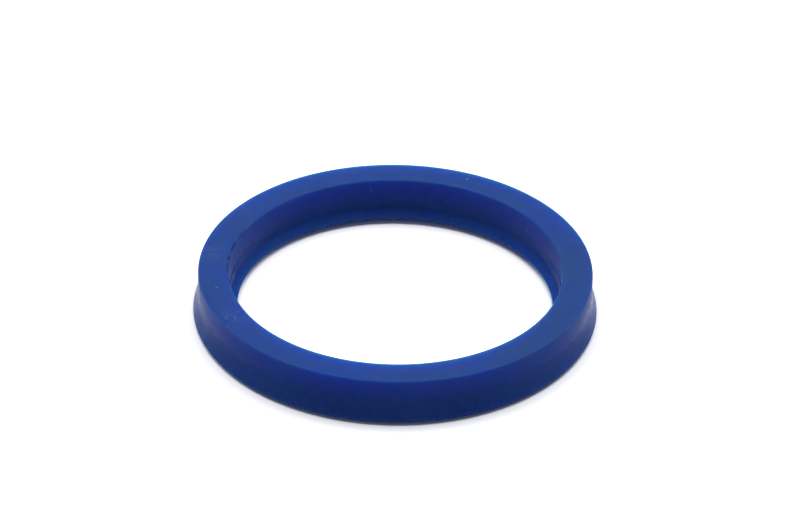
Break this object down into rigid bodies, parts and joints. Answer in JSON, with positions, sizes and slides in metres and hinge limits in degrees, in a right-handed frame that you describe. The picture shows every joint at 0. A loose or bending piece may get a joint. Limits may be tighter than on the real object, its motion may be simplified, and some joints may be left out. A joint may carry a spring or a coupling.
{
  "type": "u cup seal",
  "caption": "Ring seal of U-shaped section: a flat heel and two flared lips with a pressure groove between them, for sealing a rod in its housing.",
  "frame": {"origin": "on the ring's axis, in the plane of the lip tips that it lies on", "axes": "+Z along the ring's axis from the lips towards the flat heel; the ring is round about Z, so X and Y are any two directions square to it"},
  "size_m": [0.0612, 0.0612, 0.0073],
  "materials": {
    "u_cup_seal": "satin blue moulded polyurethane"
  },
  "bodies": {
    "root": {"u_cup_seal": "u_cup_seal"}
  },
  "joints": []
}
